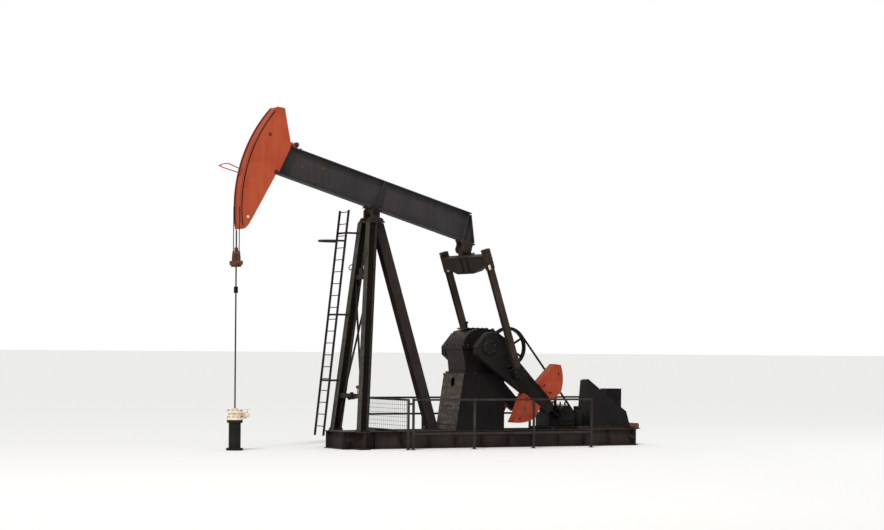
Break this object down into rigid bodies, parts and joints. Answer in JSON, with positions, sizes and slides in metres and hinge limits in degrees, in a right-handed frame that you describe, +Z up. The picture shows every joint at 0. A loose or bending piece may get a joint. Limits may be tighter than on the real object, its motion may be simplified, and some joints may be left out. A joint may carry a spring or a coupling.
{
  "type": "pumpjack",
  "caption": "Beam pumping unit with a walking beam, curved head, two weighted cranks, gear reducer, ladder, guards and its wellhead.",
  "frame": {"origin": "on the ground under the centre bearing, at the underside of the base's cross member", "axes": "+X from the well towards the prime mover, +Y across, away from the pictured side, +Z up"},
  "size_m": [12.2967, 2.676, 8.5309],
  "materials": {
    "structure": "matte",
    "ladder_paint": "satin",
    "pedestal_paint": "matte",
    "gear_case_paint": "gloss",
    "guard_paint": "matte",
    "rusty_box": "matte",
    "casing_paint": "satin",
    "wellhead_paint": "satin",
    "belt_rubber": "matte",
    "beam_paint": "satin",
    "head_paint": "matte",
    "latch_paint": "satin",
    "wire_rope": "satin",
    "pitman_paint": "satin",
    "bare_steel": "satin",
    "crank_paint": "satin",
    "weight_paint": "matte",
    "rusty_cast": "matte",
    "rod_steel": "polished"
  },
  "bodies": {
    "base": {"base_beams": "structure", "base_ties": "structure", "front_leg_near": "structure", "front_leg_far": "structure", "rear_leg": "structure", "post_braces": "structure", "post_cap": "structure", "centre_bearing": "structure", "ladder": "ladder_paint", "ladder_brackets": "ladder_paint", "ladder_hoop": "ladder_paint", "pedestal": "pedestal_paint", "reducer_case": "gear_case_paint", "reducer_cover": "gear_case_paint", "guard_near": "guard_paint", "guard_far": "guard_paint", "guard_front": "guard_paint", "engine_frame": "structure", "engine_block": "gear_case_paint", "engine_hood": "gear_case_paint", "air_box": "gear_case_paint", "battery_box": "rusty_box", "wellhead_casing": "casing_paint", "stuffing_box": "wellhead_paint", "drive_belt": "belt_rubber"},
    "beam": {"walking_beam": "beam_paint", "beam_saddle": "structure", "horse_head": "head_paint", "head_latch": "latch_paint", "guide_loop": "latch_paint", "head_wires": "wire_rope", "tail_bearing": "beam_paint"},
    "pitmans": {"equalizer": "beam_paint", "pitman_near": "pitman_paint", "pitman_far": "pitman_paint", "wrist_bearings": "gear_case_paint"},
    "cranks": {"crank_shaft": "bare_steel", "crank_near": "crank_paint", "crank_far": "crank_paint", "weights_near": "weight_paint", "weights_far": "weight_paint", "wrist_pins": "bare_steel"},
    "rods": {"carrier_bar": "rusty_cast", "rod_clamps": "rusty_cast", "polished_rod": "rod_steel", "hanging_wires": "wire_rope"},
    "sheave": {"belt_sheave": "gear_case_paint", "brake_drum": "gear_case_paint"},
    "pulley": {"driver_pulley": "gear_case_paint"}
  },
  "joints": [
    {"name": "crank_turn", "type": "hinge", "parent": "base", "child": "cranks", "pos_m": [2.95, 0, 2.6], "axis": [0, 1, 0], "range_deg": [-134.07, 17.01]},
    {"name": "beam_rock", "type": "hinge", "parent": "base", "child": "beam", "pos_m": [0, 0, 6.02], "axis": [0, 1, 0], "range_deg": [-37.97, 4.82]},
    {"name": "pitman_swing", "type": "hinge", "parent": "beam", "child": "pitmans", "pos_m": [2.6942, 0, 5.1486], "axis": [0, 1, 0], "range_deg": [-6.61, 52.09]},
    {"name": "rod_slide", "type": "slide", "parent": "base", "child": "rods", "axis": [0, 0, 1], "range_m": [-2.4557, 0.3116], "deforming": ["hanging_wires"]},
    {"name": "sheave_turn", "type": "hinge", "parent": "base", "child": "sheave", "pos_m": [3.69, 0, 2.6], "axis": [0, 1, 0], "continuous": true},
    {"name": "driver_turn", "type": "hinge", "parent": "base", "child": "pulley", "pos_m": [5.48, 0, 0.9], "axis": [0, 1, 0], "continuous": true}
  ],
  "couplings": [
    {"joint": "beam_rock", "follows": "crank_turn", "ratio": 0.28317},
    {"joint": "pitman_swing", "follows": "crank_turn", "ratio": -0.38852},
    {"joint": "rod_slide", "follows": "crank_turn", "m_per_rad": 1.0494},
    {"joint": "driver_turn", "follows": "sheave_turn", "ratio": 2.7368}
  ]
}
